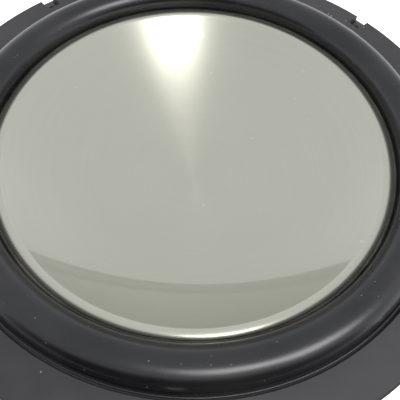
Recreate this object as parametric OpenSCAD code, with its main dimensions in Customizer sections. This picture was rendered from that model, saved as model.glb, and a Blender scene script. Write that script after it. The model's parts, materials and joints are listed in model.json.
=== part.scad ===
// Car subwoofer speaker with a concave dish, a rubber half-roll surround and a ferrite motor.
// It lies on the back of its motor and faces up. The origin is the centre of the motor's back face.
// +Z runs along the speaker's axis and out of its front. Sizes are in millimetres.

/* [Flange] */
// Outer diameter of the steel flange
flange_d = 315; // [262.5:0.5:378]
// Depth behind the flange, from its underside to the back of the motor
mount_depth = 138; // [115:0.5:165.6]
// Distance from the flange's edge to the circle of the mounting holes
bolt_edge = 7.5; // [6:0.1:9]
// Diameter of a mounting hole
hole_d = 6; // [5:0.1:7]
// Number of mounting holes
hole_count = 8; // [8:1:8]
// Thickness of the basket's steel sheet
sheet = 1.5; // [1.2:0.05:1.8]

/* [Trim ring] */
// Radial distance from the flange's edge to the inner edge of the trim ring
trim_w = 20.5; // [17.5:0.1:24]
// Height of the trim ring above the flange
trim_h = 4.4; // [3.7:0.1:5.3]
// Distance that the flange stands out past the trim ring
trim_inset = 2.2; // [1.8:0.1:2.7]
// Width of a notch
notch_w = 8.8; // [7.6:0.1:10.5]

/* [Surround] */
// Outer radius of the half roll, measured on its outer skin
roll_r = 10.15; // [8.5:0.05:12.2]
// Thickness of the rubber
rubber_t = 1.5; // [1.25:0.05:1.8]

/* [Dish and cone] */
// Width of the dish's flat flange
dish_flange_w = 2.8; // [2.4:0.1:3.3]
// Thickness of the dish
dish_t = 0.8; // [0.7:0.05:1]
// Thickness of the paper cone
cone_t = 1; // [0.8:0.05:1.2]
// Height of the dish's lowest point above the cone's neck
dish_clearance = 17; // [14.5:0.5:20]
// Radius of the rounded corner between the dish and its flange
dish_fillet = 3.5; // [3:0.1:4.2]

/* [Motor] */
// Diameter of the ferrite ring
magnet_d = 150; // [125:1:180]
// Thickness of the ferrite ring
magnet_t = 22; // [18.5:0.5:26.5]
// Thickness of the top plate and of the back plate
plate_t = 9; // [7.5:0.5:11]
// Inner diameter of the voice coil's former
former_d = 50.4; // [42:0.2:60.4]
// Height of the voice coil's winding
coil_h = 23; // [20:0.5:25]
// Diameter of the vent through the pole
vent_d = 18; // [15:0.5:21.5]

/* [Suspension] */
// Outer diameter of the spider
spider_d = 160; // [150:1:180]
// Height of the spider's ledge above the basket's seat
ledge_h = 26; // [24:0.5:31]
// Number of windows in the basket
window_count = 8; // [8:1:8]
// Width of a spoke between two windows
spoke_w = 24; // [20:0.5:29]

/* [Terminals] */
// Distance between the two push buttons
button_pitch = 23; // [20:0.5:27]
// Diameter of a push button
button_d = 11; // [9.2:0.1:11.6]
// Travel of a push button
button_travel = 3.5; // [2.9:0.1:4.2]

/* [Hidden] */
$fn = 96;

eps = 0.01;          // overshoot of a cutting solid
flange_r = flange_d / 2;
bolt_r = flange_r - bolt_edge;
sector = 360 / window_count;

// Heights, from the back of the motor upwards
magnet_z = plate_t;
top_plate_z = magnet_z + magnet_t;
seat_z = top_plate_z + plate_t;
ledge_z = seat_z + ledge_h;
flange_z = mount_depth;
flange_top = flange_z + sheet;
trim_top = flange_top + trim_h;

// Radii of the trim ring and of the surround, from the edge inwards
trim_in = flange_r - trim_w;
trim_out = flange_r - trim_inset;
lip_w = 1;
lip_gap = 0.8;
lip_out = trim_in - lip_gap;
roll_out = lip_out - lip_w - 0.4;
roll_in = roll_out - 2 * roll_r;
roll_mid = roll_out - roll_r;
roll_z = trim_top - 0.4;
landing_out = bolt_r - hole_d / 2 - 1;

// Heights of the bonded stack at the dish's rim, from the top downwards
bead_w = 2;
dish_rim_r = roll_in - bead_w;
dish_rim_z = trim_top - 2.8;
inner_landing_t = 1.2;
landing_top = dish_rim_z - dish_t;
lip_top = landing_top - inner_landing_t;
lip_z = lip_top - cone_t;
landing_in = dish_rim_r - dish_flange_w + 0.1;
lip_in = landing_in - 1.1;

// Voice coil, gap and pole
former_t = 0.3;
former_r = former_d / 2 + former_t;
winding_t = 1.4;
gap_clear = 0.6;
winding_r = former_r + winding_t;
pole_r = former_d / 2 - gap_clear;
gap_r = winding_r + gap_clear;
gap_z = top_plate_z + plate_t / 2;
coil_z = gap_z - coil_h / 2;

// Cone and dish, tied to the space between the spider and the rim
neck_z = ledge_z + 14;
neck_r = former_r + 0.4;
dish_z = neck_z + dish_clearance;
dish_flat_r = dish_rim_r - dish_flange_w;
dish_depth = dish_rim_z - dish_z;
dish_reach = (pow(dish_flat_r, 2) + pow(dish_depth, 2)) / (2 * dish_depth);
dish_r = dish_reach - dish_fillet;
dish_slope = asin(dish_flat_r / dish_reach);
cone_sag = 0.095;

// Basket
magnet_r = magnet_d / 2;
plate_r = magnet_r - 6;
spider_r = spider_d / 2;
spider_land = 12;
cup_r = spider_r - spider_land - 2;
ledge_r = spider_r + 4;
rim_r = trim_in + lip_gap / 2;
rim_z = flange_z - 18;
seat_hole_r = gap_r + 4;
bend_r = 2.5;
window_in = ledge_r + 2;
window_out = rim_r - 7;
window_corner = 8;
rib_r = 5;
rib_end = 15;
notch_in = bolt_r - hole_d / 2 - 1.7;
seat_screw_count = 6;
seat_screw_r = (seat_hole_r + min(cup_r, plate_r)) / 2;
seat_screw_d = 5;

// Terminals, at the far side of the basket on +Y
cup_out = cup_r + sheet;
seat_gap = 0.02;
block_w = button_pitch + button_d + 14;
block_z0 = seat_z + 3;
block_z1 = ledge_z - sheet - bend_r;
block_mid = (block_z0 + block_z1) / 2;
block_y = cup_out + 24.5;
well_r = button_d / 2 + 0.3;
well_depth = 14;
well_y = block_y - well_depth;
button_back = well_y + button_travel + 0.5;
cap_h = 3;
button_hollow_r = button_d * 0.31;
button_hollow = 4.2;
wire_r = 2.1;
wire_y = block_y - 7;
contact_t = 0.8;
contact_w = 6;
contact_leg = 3;
tab_y = block_y - contact_t;
tab_z = block_z1 + 9.5;
spring_wire = 0.6;
spring_r = button_hollow_r - 0.7;
spring_turns = 5;
terminal_screw_d = 3;
screw_step = 4.6;
screw_head_y = block_y - 4;
mark_x = button_pitch / 2 + button_d / 2 + 3.9;

// Tinsel leads, each from its solder tab to its eyelet
lead_d = 2.4;
lead_solder = 6;
eyelet_r = 56;
eyelet_turn = 14;
eyelet_d = 3;
eyelet_gap = 0.1;
eyelet_flange = 0.5;
// The arch of a lead, as fractions of the way [inwards, upwards]
lead_bow = [
    [0, 0], [0.01, 0.3], [0.06, 0.62], [0.18, 0.88],
    [0.35, 1], [0.55, 1.02], [0.78, 0.98], [1, 1]
];

// ---------- helpers ----------

// Point [radius, height] on the cone's middle surface, from the neck at t = 0 to the lip at t = 1
function cone_point(t) =
    let (a = [neck_r, neck_z], b = [lip_in + 0.5, lip_z + cone_t / 2], d = b - a, n = [d[1], -d[0]])
    a + d * t + n * cone_sag * 4 * t * (1 - t);

// Unit normal of the cone's back at t, pointing outwards and down
function cone_back(t) =
    let (d = cone_point(t + 0.001) - cone_point(t - 0.001))
    unit([d[1], -d[0]]);

// The fraction t at which the cone's middle surface reaches radius r
function cone_at(r, lo = 0, hi = 1, n = 24) =
    let (mid = (lo + hi) / 2)
    n == 0 ? mid : cone_point(mid)[0] < r ? cone_at(r, mid, hi, n - 1) : cone_at(r, lo, mid, n - 1);

function unit(v) = v / norm(v);

// One ring of a swept tube: sides points round p, across direction d
function ring(p, d, r, sides) =
    let (side = unit(cross(d, abs(d[2]) > 0.9 ? [1, 0, 0] : [0, 0, 1])), up = cross(side, d))
    [for (i = [0:sides - 1]) p + r * (cos(360 * i / sides) * side + sin(360 * i / sides) * up)];

// A closed tube swept along the points of a route
module tube(route, r, sides) {
    last = len(route) - 1;
    points = [
        for (i = [0:last])
            each ring(route[i], unit(route[min(i + 1, last)] - route[max(i - 1, 0)]), r, sides)
    ];
    walls = [
        for (i = [0:last - 1], k = [0:sides - 1])
            [i * sides + k, i * sides + (k + 1) % sides,
             (i + 1) * sides + (k + 1) % sides, (i + 1) * sides + k]
    ];
    start = [for (k = [sides - 1:-1:0]) k];
    end = [for (k = [0:sides - 1]) last * sides + k];
    polyhedron(points = points, faces = concat([start], walls, [end]), convexity = 6);
}

// A smooth curve through hand-picked points, each span cut into the given number of steps
function smooth(p, steps) = [
    for (i = [0:len(p) - 2])
        let (a = p[max(i - 1, 0)], b = p[i], c = p[i + 1], d = p[min(i + 2, len(p) - 1)])
        for (k = [0:steps - 1])
            let (t = k / steps)
            0.5 * (2 * b + (c - a) * t + (2 * a - 5 * b + 4 * c - d) * t * t
                + (3 * b - a - 3 * c + d) * t * t * t),
    p[len(p) - 1]
];

// A flat ring between two radii, from z0 up to z1
module flat_ring(r_in, r_out, z0, z1) {
    rotate_extrude()
        translate([r_in, z0])
            square([r_out - r_in, z1 - z0]);
}

// Copies of the children at equal angles round the axis
module around(count, first = 0) {
    for (i = [0:count - 1])
        rotate([0, 0, first + i * 360 / count])
            children();
}

// ---------- basket ----------

// Outline of the space inside the basket, which its sheet wraps
module basket_cavity() {
    high = trim_top + 10;
    offset(r = bend_r, $fn = 16)
        offset(r = -2 * bend_r, $fn = 16)
            offset(delta = bend_r)
                polygon([
                    [-20, seat_z + sheet], [cup_r, seat_z + sheet], [cup_r, ledge_z], [ledge_r, ledge_z],
                    [rim_r, rim_z], [rim_r, flange_top], [flange_r + 20, flange_top],
                    [flange_r + 20, high], [-20, high]
                ]);
}

module basket_sheet() {
    rotate_extrude()
        intersection() {
            difference() {
                offset(delta = sheet) basket_cavity();
                basket_cavity();
            }
            translate([seat_hole_r, seat_z])
                square([flange_r - seat_hole_r, flange_top - seat_z]);
        }
}

// One window, as a plan shape between the ledge and the rim, with its sides parallel to the spokes
module window_plan() {
    half = sector / 2;
    reach = window_out * 1.2;
    offset(r = window_corner, $fn = 32)
        offset(delta = -window_corner)
            intersection() {
                difference() {
                    circle(window_out, $fn = 180);
                    circle(window_in, $fn = 180);
                }
                translate([spoke_w / 2 / sin(half), 0])
                    polygon([
                        [0, 0],
                        [reach * cos(half), reach * sin(half)],
                        [reach * cos(half), -reach * sin(half)]
                    ]);
            }
}

// A round bar with tapered ends along the middle of a spoke, on the inner face of the sheet
module spoke_bar(r) {
    slope = atan2(rim_z - ledge_z, rim_r - ledge_r);
    length = norm([rim_r - ledge_r, rim_z - ledge_z]) - 2 * rib_end;
    taper = 1.8 * r;
    tip = 0.2 * r;
    rotate([0, 0, sector / 2])
        translate([ledge_r + rib_end * cos(slope), 0, ledge_z + rib_end * sin(slope)])
            rotate([0, 90 - slope, 0]) {
                cylinder(r = r, h = length);
                translate([0, 0, -taper])
                    cylinder(r1 = tip, r2 = r, h = taper);
                translate([0, 0, length])
                    cylinder(r1 = r, r2 = tip, h = taper);
            }
}

module basket() {
    color([0.09, 0.09, 0.1])
        difference() {
            union() {
                basket_sheet();
                difference() {
                    around(window_count)
                        spoke_bar(rib_r);
                    rotate_extrude()
                        intersection() {
                            basket_cavity();
                            translate([0, seat_z])
                                square([flange_r, mount_depth]);
                        }
                }
            }
            around(window_count)
                spoke_bar(rib_r - sheet);
            around(window_count)
                translate([0, 0, seat_z])
                    linear_extrude(rim_z - seat_z + 4)
                        window_plan();
            around(hole_count)
                translate([bolt_r, 0, flange_z - 1])
                    cylinder(d = hole_d, h = sheet + 2);
            around(seat_screw_count)
                translate([seat_screw_r, 0, seat_z - 1])
                    cylinder(d = seat_screw_d + 0.2, h = sheet + 2);
            terminal_screw_places()
                translate([0, 0, cup_r - 4])
                    cylinder(d = terminal_screw_d + 0.2, h = 8);
        }
}

// ---------- ring and surround ----------

module trim_ring() {
    edge = 0.8;
    color([0.2, 0.2, 0.21])
        difference() {
            rotate_extrude()
                polygon([
                    [trim_in, flange_top + rubber_t], [landing_out + 0.3, flange_top + rubber_t],
                    [landing_out + 0.3, flange_top], [trim_out + edge, flange_top],
                    [trim_out + edge, trim_top - edge], [trim_out, trim_top],
                    [trim_in + edge / 2, trim_top], [trim_in, trim_top - edge / 2]
                ]);
            around(hole_count)
                translate([notch_in, -notch_w / 2, flange_top - 1])
                    cube([flange_r, notch_w, trim_h + 2]);
        }
}

// Half roll with legs down to its two landings and a small raised lip beside the trim ring
module surround_profile() {
    difference() {
        union() {
            translate([roll_mid, roll_z])
                circle(roll_r);
            translate([roll_in, landing_top - inner_landing_t])
                square([rubber_t, roll_z - landing_top + inner_landing_t]);
            translate([roll_out - rubber_t, flange_top])
                square([rubber_t, roll_z - flange_top]);
        }
        translate([roll_mid, roll_z])
            circle(roll_r - rubber_t);
        translate([roll_in + rubber_t, 0])
            square([2 * (roll_r - rubber_t), roll_z]);
        translate([roll_in - 1, 0])
            square([2 * roll_r + 2, landing_top - inner_landing_t]);
    }
    translate([landing_in, landing_top - inner_landing_t])
        square([roll_in + rubber_t - landing_in, inner_landing_t]);
    translate([roll_out - rubber_t, flange_top])
        square([landing_out - roll_out + rubber_t, rubber_t]);
    translate([lip_out - lip_w, flange_top])
        square([lip_w, trim_h - 1]);
}

module surround() {
    color([0.07, 0.07, 0.08])
        rotate_extrude()
            surround_profile();
}

// Corrugated cloth, from the flat landing on the ledge in to the collar on the former
module spider() {
    outer = spider_r - spider_land;
    inner = former_r + gap_clear + 2;
    waves = 5;
    steps = 8 * waves;
    swing = 2;
    cloth = 0.8;
    wave = [
        for (i = [0:steps])
            [outer + (inner - outer) * i / steps, ledge_z + swing * sin(360 * waves * i / steps)]
    ];
    collar_r = former_r + gap_clear / 2;
    collar_top = ledge_z + 7;
    color([0.74, 0.64, 0.42])
        rotate_extrude()
            polygon(concat(
                [[spider_r, ledge_z]], wave,
                [
                    [collar_r, ledge_z], [collar_r, collar_top],
                    [collar_r + cloth, collar_top], [collar_r + cloth, ledge_z + cloth]
                ],
                [for (i = [steps:-1:0]) wave[i] + [0, cloth]], [[spider_r, ledge_z + cloth]]
            ));
}

// ---------- moving cone ----------

// Half of the dish's section at a given depth in its thickness, from the axis out to the rim:
// a sphere that turns over a rounded corner into the flat flange
function dish_line(inset) =
    let (arc = 48, turn = 12, bend_c = [dish_flat_r, dish_rim_z - dish_fillet])
    concat(
        [for (i = [0:arc])
            let (a = dish_slope * i / arc)
            [0, dish_z + dish_r] + (dish_r + inset) * [sin(a), -cos(a)]],
        [for (i = [1:turn])
            let (a = dish_slope * (1 - i / turn))
            bend_c + (dish_fillet - inset) * [-sin(a), cos(a)]],
        [[dish_rim_r, dish_rim_z - inset]]
    );

module dish() {
    front = dish_line(0);
    back = dish_line(dish_t);
    color([0.68, 0.68, 0.63])
        rotate_extrude()
            polygon(concat(front, [for (i = [len(back) - 1:-1:0]) back[i]]));
}

module dish_glue_bead() {
    inner = dish_rim_r + 0.05;
    crown = bead_w * 0.35;
    color([0.25, 0.24, 0.22])
        rotate_extrude()
            polygon([
                [inner, landing_top], [roll_in - 0.1, landing_top], [roll_in - 0.1, landing_top + 0.3],
                [roll_in - 0.5, landing_top + crown], [inner + 0.4, landing_top + crown],
                [inner, landing_top + 0.4]
            ]);
}

// Curved paper cone with a flat lip under the surround, and holes for the eyelets
module cone() {
    steps = 28;
    middle = [for (i = [0:steps]) cone_point(i / steps)];
    side = [for (i = [0:steps]) cone_back(i / steps) * cone_t / 2];
    color([0.13, 0.12, 0.11])
        difference() {
            rotate_extrude() {
                polygon(concat(
                    [for (i = [0:steps]) middle[i] + side[i]],
                    [for (i = [steps:-1:0]) middle[i] - side[i]]
                ));
                translate([lip_in, lip_z])
                    square([roll_in - 0.3 - lip_in, cone_t]);
            }
            eyelet_places()
                cylinder(d = eyelet_d + 0.1, h = 6 * cone_t, center = true);
        }
}

// Both eyelets' places on the cone, each with +Z along the cone's back normal
module eyelet_places() {
    t = cone_at(eyelet_r);
    p = cone_point(t);
    back = cone_back(t);
    for (side = [-1, 1])
        rotate([0, 0, 90 - side * eyelet_turn])
            translate([p[0], 0, p[1]])
                rotate([0, atan2(back[0], back[1]), 0])
                    children();
}

module cone_eyelets() {
    color([0.72, 0.6, 0.33])
        eyelet_places()
            difference() {
                union() {
                    cylinder(d = eyelet_d, h = cone_t + 2 * (eyelet_gap + eyelet_flange), center = true);
                    for (end = [-1, 1])
                        translate([0, 0, end * (cone_t + 2 * eyelet_gap + eyelet_flange) / 2])
                            cylinder(d = eyelet_d + 2.4, h = eyelet_flange, center = true);
                }
                cylinder(d = eyelet_d / 3, h = 6 * cone_t, center = true);
            }
}

// Adhesive above and below the cone's neck
module neck_glue() {
    rise = 3;
    clear = 0.75;
    color([0.45, 0.32, 0.16])
        rotate_extrude() {
            polygon([
                [former_r, neck_z + clear - 0.2], [former_r + rise, neck_z + clear + rise * 0.35],
                [former_r, neck_z + clear + rise]
            ]);
            polygon([
                [former_r, neck_z - clear], [former_r, neck_z - clear - rise],
                [former_r + rise, neck_z - clear + rise * 0.1]
            ]);
        }
}

module coil_former() {
    color([0.55, 0.42, 0.2])
        flat_ring(former_d / 2, former_r, coil_z - 1, neck_z + 4);
}

module voice_coil() {
    color([0.62, 0.3, 0.16])
        flat_ring(former_r, winding_r, coil_z, coil_z + coil_h);
}

// ---------- motor ----------

module top_plate() {
    color([0.62, 0.62, 0.64])
        difference() {
            rotate_extrude()
                polygon([
                    [gap_r, top_plate_z], [plate_r, top_plate_z], [plate_r, seat_z - 1],
                    [plate_r - 1, seat_z], [gap_r, seat_z]
                ]);
            around(seat_screw_count)
                translate([seat_screw_r, 0, top_plate_z + 1])
                    cylinder(d = seat_screw_d, h = plate_t);
        }
}

module magnet() {
    edge = 1.2;
    color([0.2, 0.2, 0.21])
        rotate_extrude()
            polygon([
                [gap_r + 6, magnet_z], [magnet_r - edge, magnet_z], [magnet_r, magnet_z + edge],
                [magnet_r, top_plate_z - edge], [magnet_r - edge, top_plate_z], [gap_r + 6, top_plate_z]
            ]);
}

// Back plate and pole in one piece, with a flared vent through the pole
module yoke() {
    edge = 2;
    flare = 4;
    vent_r = vent_d / 2;
    color([0.62, 0.62, 0.64])
        rotate_extrude()
            polygon([
                [vent_r + flare, 0], [plate_r - edge, 0], [plate_r, edge], [plate_r, plate_t],
                [pole_r + 1, plate_t], [pole_r, plate_t + 1], [pole_r, seat_z - 1],
                [pole_r - 1, seat_z], [vent_r + flare / 2, seat_z], [vent_r, seat_z - flare / 2],
                [vent_r, flare]
            ]);
}

// A pan-head screw with a cross recess. Its head stands on z = 0 and its shank points down
module screw(d, length) {
    head_r = d * 0.92;
    head_h = d * 0.6;
    recess = d * 0.2;
    difference() {
        union() {
            translate([0, 0, -length])
                cylinder(d = d - 0.1, h = length + eps);
            cylinder(r = head_r, h = head_h * 0.6);
            translate([0, 0, head_h * 0.6])
                cylinder(r1 = head_r, r2 = head_r * 0.72, h = head_h * 0.4);
        }
        for (turn = [0, 90])
            rotate([0, 0, turn])
                translate([-head_r * 0.6, -recess / 2, head_h * 0.45])
                    cube([head_r * 1.2, recess, head_h]);
    }
}

module basket_screws() {
    color([0.3, 0.3, 0.31])
        around(seat_screw_count)
            translate([seat_screw_r, 0, seat_z + sheet])
                screw(seat_screw_d, sheet + plate_t - 2);
}

// ---------- terminals ----------

// Copies at both buttons' axes, with +Z pointing out of the block along +Y
module button_axis(side) {
    translate([side * button_pitch / 2, 0, block_mid])
        rotate([-90, 0, 0])
            children();
}

// The two screws' axes, with +Z pointing out along +Y
module terminal_screw_places() {
    for (side = [-1, 1])
        translate([0, 0, block_mid + side * screw_step])
            rotate([-90, 0, 0])
                children();
}

module terminal_block() {
    corner = 2;
    mark = 5;
    mark_t = 1;
    raised = 0.5;
    color([0.08, 0.08, 0.09])
        difference() {
            union() {
                translate([0, 0, block_z0])
                    linear_extrude(block_z1 - block_z0)
                        polygon([
                            [-block_w / 2, 0], [block_w / 2, 0], [block_w / 2, block_y - corner],
                            [block_w / 2 - corner, block_y], [-block_w / 2 + corner, block_y],
                            [-block_w / 2, block_y - corner]
                        ]);
                for (side = [-1, 1])
                    translate([side * mark_x - mark / 2, block_y - eps, block_mid - mark_t / 2])
                        cube([mark, raised, mark_t]);
                translate([-mark_x - mark_t / 2, block_y - eps, block_mid - mark / 2])
                    cube([mark_t, raised, mark]);
            }
            cylinder(r = cup_out + seat_gap, h = 2 * mount_depth);
            for (side = [-1, 1]) {
                button_axis(side)
                    translate([0, 0, well_y])
                        cylinder(r = well_r, h = well_depth + 1);
                translate([side * button_pitch / 2, wire_y, block_z0 - eps]) {
                    cylinder(r = wire_r, h = block_mid - block_z0);
                    cylinder(r1 = wire_r + 1, r2 = wire_r, h = 1);
                }
                translate([side * button_pitch / 2, wire_y, block_mid + button_d / 2])
                    translate([-contact_leg / 2 - 0.1, -contact_t / 2 - 0.1, 0])
                        cube([contact_leg + 0.2, contact_t + 0.2, block_z1]);
            }
            terminal_screw_places() {
                cylinder(d = terminal_screw_d + 0.2, h = block_y);
                translate([0, 0, screw_head_y])
                    cylinder(d = terminal_screw_d * 2.1, h = block_y);
            }
        }
}

module terminal_screws() {
    color([0.6, 0.6, 0.6])
        terminal_screw_places()
            translate([0, 0, screw_head_y])
                screw(terminal_screw_d, screw_head_y - cup_r + 3);
}

// Brass strip: a leg that meets the wire, a flat on top of the block and an upright solder tab
module contact(side) {
    color([0.8, 0.66, 0.36])
        translate([side * button_pitch / 2, 0, 0])
            difference() {
                union() {
                    translate([-contact_leg / 2, wire_y - contact_t / 2, block_mid + well_r])
                        cube([contact_leg, contact_t, block_z1 - block_mid - well_r + eps]);
                    translate([-contact_w / 2, wire_y - contact_t / 2, block_z1])
                        cube([contact_w, block_y - wire_y + contact_t / 2, contact_t]);
                    translate([-contact_w / 2, tab_y, block_z1])
                        cube([contact_w, contact_t, tab_z - block_z1]);
                }
                translate([0, tab_y, tab_z - contact_w * 0.4])
                    rotate([-90, 0, 0])
                        cylinder(d = contact_w / 3, h = 3, center = true);
            }
}

module push_button(side, tint) {
    edge = 0.8;
    cap_z = block_y + button_travel + 0.4;
    color(tint)
        button_axis(side)
            difference() {
                union() {
                    translate([0, 0, button_back])
                        cylinder(d = button_d, h = cap_z + cap_h / 2 - button_back);
                    translate([0, 0, cap_z]) {
                        cylinder(r = button_d / 2 + 1.2, h = cap_h - edge);
                        translate([0, 0, cap_h - edge])
                            cylinder(r1 = button_d / 2 + 1.2, r2 = button_d / 2 + 1.2 - edge, h = edge);
                    }
                }
                translate([0, 0, button_back - 1])
                    cylinder(r = button_hollow_r, h = button_hollow + 1);
                translate([0, 0, wire_y + button_travel])
                    rotate([90, 0, 0])
                        cylinder(r = wire_r, h = 2 * button_d, center = true);
            }
}

// Compression spring between the well's floor and the hollow in the button's back
module button_spring(side) {
    length = button_back + button_hollow - well_y - spring_wire;
    steps = 12 * spring_turns;
    color([0.75, 0.75, 0.77])
        button_axis(side)
            translate([0, 0, well_y + spring_wire / 2])
                tube([
                    for (i = [0:steps])
                        [spring_r * cos(30 * i), spring_r * sin(30 * i), length * i / steps]
                ], spring_wire / 2, 8);
}

// ---------- tinsel leads ----------

// A lead is soldered up the inner face of its tab, arches through the window and ends under its eyelet
module tinsel_lead(side) {
    t = cone_at(eyelet_r);
    p = cone_point(t);
    back = cone_back(t);
    turn = 90 - side * eyelet_turn;
    foot = p + back * (cone_t / 2 + eyelet_gap + eyelet_flange + 0.3);
    near = p + back * 5;
    start = [side * button_pitch / 2, tab_y - lead_d / 2, tab_z];
    end = [near[0] * cos(turn), near[0] * sin(turn), near[1]];
    route = concat(
        [start - [0, 0, lead_solder]],
        [for (b = lead_bow) [
            start[0] + (end[0] - start[0]) * b[0],
            start[1] + (end[1] - start[1]) * b[0],
            start[2] + (end[2] - start[2]) * b[1]
        ]],
        [[foot[0] * cos(turn), foot[0] * sin(turn), foot[1]]]
    );
    color([0.72, 0.5, 0.3])
        tube(smooth(route, 4), lead_d / 2, 8);
}

// ---------- nodes ----------

basket();
trim_ring();
surround();
spider();
top_plate();
magnet();
yoke();
basket_screws();
terminal_block();
terminal_screws();
contact(-1);  // contact_red
contact(1);  // contact_black
button_spring(-1);  // button_spring_red
button_spring(1);  // button_spring_black
push_button(-1, [0.62, 0.07, 0.06]);  // push_button_red
push_button(1, [0.05, 0.05, 0.05]);  // push_button_black
tinsel_lead(-1);  // tinsel_lead_red
tinsel_lead(1);  // tinsel_lead_black
dish();
dish_glue_bead();
cone();
cone_eyelets();
neck_glue();
coil_former();
voice_coil();
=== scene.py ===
# %% [markdown]
# # A car subwoofer speaker
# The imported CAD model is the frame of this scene. It holds every part at its real size and place,
# and each part already rides on the body that it moves with. This lesson gives the frame its looks:
# the soft and glossy pieces are modelled again in fine detail, and every part gets its own material.

# %% Load the frame
import json
import math

import bmesh
import bpy
from mathutils import Matrix, Vector, noise
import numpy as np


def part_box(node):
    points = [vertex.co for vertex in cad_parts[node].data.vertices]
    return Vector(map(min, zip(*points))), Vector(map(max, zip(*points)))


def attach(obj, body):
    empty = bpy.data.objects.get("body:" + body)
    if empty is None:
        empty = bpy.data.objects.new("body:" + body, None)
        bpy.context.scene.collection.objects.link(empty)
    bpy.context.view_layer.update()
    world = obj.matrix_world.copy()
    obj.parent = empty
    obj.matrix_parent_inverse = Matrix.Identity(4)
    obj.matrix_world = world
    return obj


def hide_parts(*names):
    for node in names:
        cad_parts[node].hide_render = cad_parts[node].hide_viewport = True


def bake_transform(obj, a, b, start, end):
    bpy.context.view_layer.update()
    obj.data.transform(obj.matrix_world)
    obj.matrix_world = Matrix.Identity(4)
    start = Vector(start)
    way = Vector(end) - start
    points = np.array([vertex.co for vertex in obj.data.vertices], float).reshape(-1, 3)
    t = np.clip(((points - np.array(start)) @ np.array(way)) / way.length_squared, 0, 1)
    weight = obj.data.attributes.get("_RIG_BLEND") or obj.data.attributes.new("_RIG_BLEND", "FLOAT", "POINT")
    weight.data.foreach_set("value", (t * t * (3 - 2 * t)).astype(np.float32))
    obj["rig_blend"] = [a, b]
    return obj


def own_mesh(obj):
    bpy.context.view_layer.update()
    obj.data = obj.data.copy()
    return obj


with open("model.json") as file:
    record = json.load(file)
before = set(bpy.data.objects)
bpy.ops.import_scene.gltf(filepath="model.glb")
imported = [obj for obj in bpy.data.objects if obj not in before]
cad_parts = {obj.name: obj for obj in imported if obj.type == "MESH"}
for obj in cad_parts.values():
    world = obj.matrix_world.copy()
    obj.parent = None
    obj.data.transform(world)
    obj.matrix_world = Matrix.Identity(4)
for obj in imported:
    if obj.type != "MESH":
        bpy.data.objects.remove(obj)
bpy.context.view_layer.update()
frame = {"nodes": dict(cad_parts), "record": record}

nodes = frame["nodes"]

# %% [markdown]
# Sizes come from the frame, so that a piece always lands where its CAD part is. The box of a round
# part gives its outer radius and its two heights, which is nearly all that a turned part needs.
# The few sizes that no box shows, such as the thickness of the rubber, are named here as well.

# %% Measure the frame
MM = 0.001


def reach(node):
    """Outer radius, lowest and highest point of a round part."""
    low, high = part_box(node)
    return high[0], low[2], high[2]


flange_r, seat_z, flange_top = reach("basket")
trim_r, _, trim_top = reach("trim_ring")
dish_rim_r, dish_back, dish_rim_z = reach("dish")
landing_r, lip_bottom, crest_z = reach("surround")
spider_r, spider_low, spider_high = reach("spider")
bead_r, bead_low, bead_top = reach("dish_glue_bead")
former_r = reach("coil_former")[0]

roll_radius = 10.15 * MM
rubber = 1.5 * MM
roll_z = crest_z - roll_radius
roll_in = bead_r + 0.1 * MM
roll_mid = roll_in + roll_radius
roll_out = roll_mid + roll_radius
dish_wall = 0.8 * MM
print("flange", flange_r, "dish rim", dish_rim_r, "roll", roll_in, roll_out, "crest", crest_z)

# %% [markdown]
# The camera looks down at the speaker from the front, about 60 degrees above the floor and close
# enough that the dish fills most of the frame. Its axes are worked out from that one angle and from
# a slight roll to one side, and written straight into its matrix.

# %% Place the camera
ELEVATION = math.radians(60.17)
CAMERA_ROLL = math.radians(3.66)
EYE = Vector((5.36 * MM, -151.14 * MM, trim_top + 188.76 * MM))

camera_back = Vector((0, -math.cos(ELEVATION), math.sin(ELEVATION)))
camera_up = Vector((0, math.sin(ELEVATION), math.cos(ELEVATION)))
turned = Matrix.Rotation(CAMERA_ROLL, 3, camera_back)
axes = Matrix((turned @ Vector((1, 0, 0)), turned @ camera_up, camera_back)).transposed()

lens = bpy.data.cameras.new("camera")
lens.lens = 38.02
lens.sensor_width = 36
lens.clip_start = 0.01
camera = bpy.data.objects.new("camera", lens)
camera.matrix_world = Matrix.Translation(EYE) @ axes.to_4x4()
bpy.context.collection.objects.link(camera)
bpy.context.scene.camera = camera
print("camera at", tuple(round(v, 3) for v in EYE))

# %% [markdown]
# The dish is a concave mirror of brushed metal, so what stands round it matters as much as what
# shines on it. One panel hangs behind the camera like a window, a little to the right: the far side
# of the dish reflects it, and it draws a bright line on the rubber. A second one stands further
# round to the right and carries that line on. The last cell keeps it off the dish.

# %% Hang the lights
scene = bpy.context.scene
scene.view_settings.view_transform = "Standard"


def pick_nothing():
    bpy.ops.object.select_all(action="DESELECT")


def hang_panel(name, aim, azimuth, elevation, distance, width, height, power, tint=(1, 1, 1)):
    """A soft rectangular light that faces the point aim. Azimuth 0 is beyond the speaker, 90 on the right."""
    data = bpy.data.lights.new(name, "AREA")
    data.shape = "RECTANGLE"
    data.size, data.size_y = width, height
    data.energy = power
    data.color = tint
    panel = bpy.data.objects.new(name, data)
    level = math.cos(math.radians(elevation))
    way = Vector((level * math.sin(math.radians(azimuth)), level * math.cos(math.radians(azimuth)),
                  math.sin(math.radians(elevation))))
    panel.location = Vector(aim) + way * distance
    panel.rotation_euler = way.to_track_quat("Z", "Y").to_euler()
    bpy.context.collection.objects.link(panel)
    return panel


centre = (0, 0, trim_top)
hang_panel("window", centre, azimuth=158, elevation=60, distance=1.3, width=0.44, height=0.4,
           power=6.5, tint=(1, 0.99, 0.95))
side_window = hang_panel("side window", centre, azimuth=125, elevation=50, distance=1.3, width=0.4,
                         height=0.4, power=7, tint=(1, 0.98, 0.97))

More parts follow.
